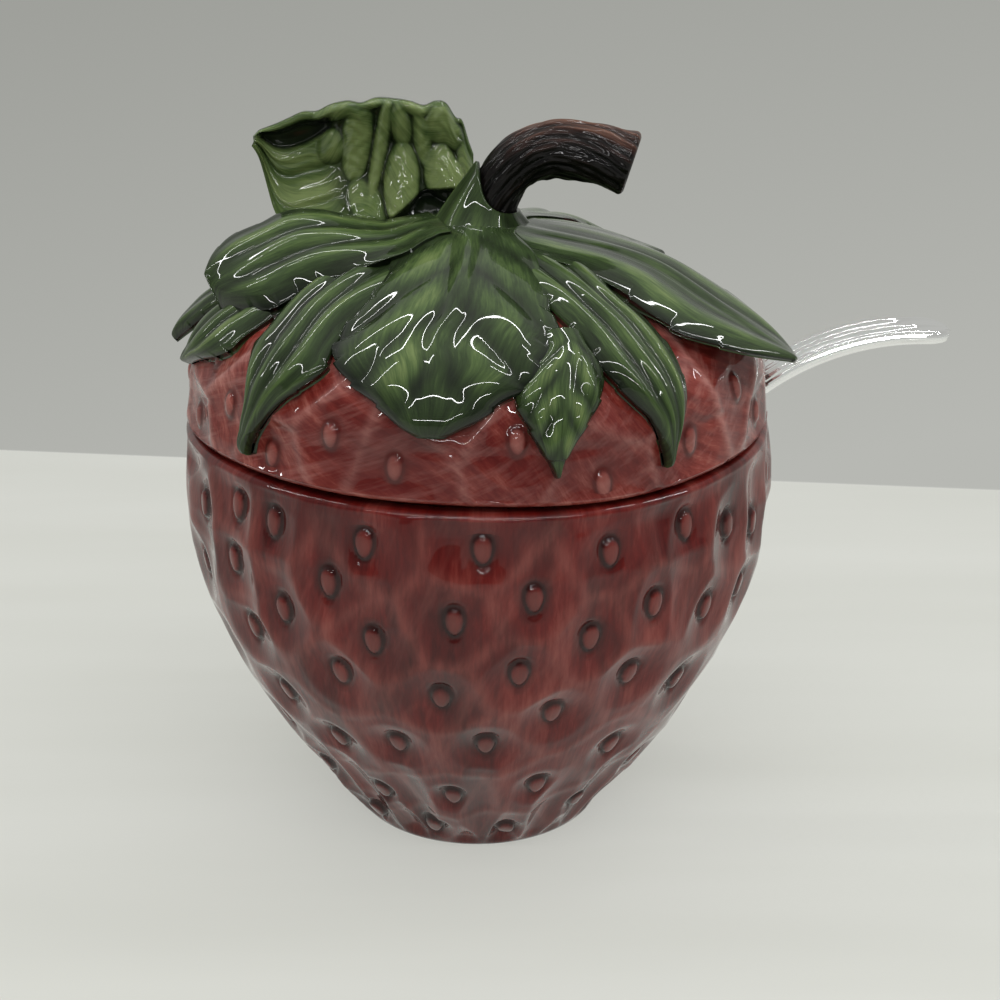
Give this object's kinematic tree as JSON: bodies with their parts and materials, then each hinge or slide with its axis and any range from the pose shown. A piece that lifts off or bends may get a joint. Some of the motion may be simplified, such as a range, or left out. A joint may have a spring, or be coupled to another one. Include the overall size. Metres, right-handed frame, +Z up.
{
  "type": "jam pot",
  "caption": "Strawberry-shaped glazed earthenware jam pot with a leaf-dressed lid, a curved stem as its knob and a clear ribbed spoon.",
  "frame": {"origin": "centre of the pot's flat base", "axes": "+Z up; +X from the pot's axis through the lid's spoon notch; the front of the picture is -Y"},
  "size_m": [0.1321, 0.1021, 0.1243],
  "materials": {
    "berry_glaze": "glossy",
    "rose_glaze": "glossy",
    "leaf_glaze": "glossy",
    "stem_glaze": "glossy",
    "clear_acrylic": "clear"
  },
  "bodies": {
    "pot": {"pot": "berry_glaze"},
    "lid": {"lid": "rose_glaze", "crown": "leaf_glaze", "stem": "stem_glaze", "front_leaf": "leaf_glaze", "front_left_leaf": "leaf_glaze", "front_bract": "leaf_glaze", "front_right_leaf": "leaf_glaze", "right_spur_leaf": "leaf_glaze", "right_leaf": "leaf_glaze", "back_right_leaf": "leaf_glaze", "back_right_bract": "leaf_glaze", "back_leaf": "leaf_glaze", "back_left_bract": "leaf_glaze", "back_left_leaf": "leaf_glaze", "left_spur_leaf": "leaf_glaze", "left_small_leaf": "leaf_glaze", "left_broad_leaf": "leaf_glaze", "raised_leaf": "leaf_glaze"},
    "spoon": {"spoon": "clear_acrylic"}
  },
  "joints": [
    {"name": "lid_lift", "type": "slide", "parent": "pot", "child": "lid", "axis": [0, 0, 1], "range_m": [0, 0.08]},
    {"name": "spoon_feed", "type": "hinge", "parent": "pot", "child": "spoon", "pos_m": [0.0746, 0, 0.04291], "axis": [0, 1, 0], "range_deg": [0, 30]}
  ]
}
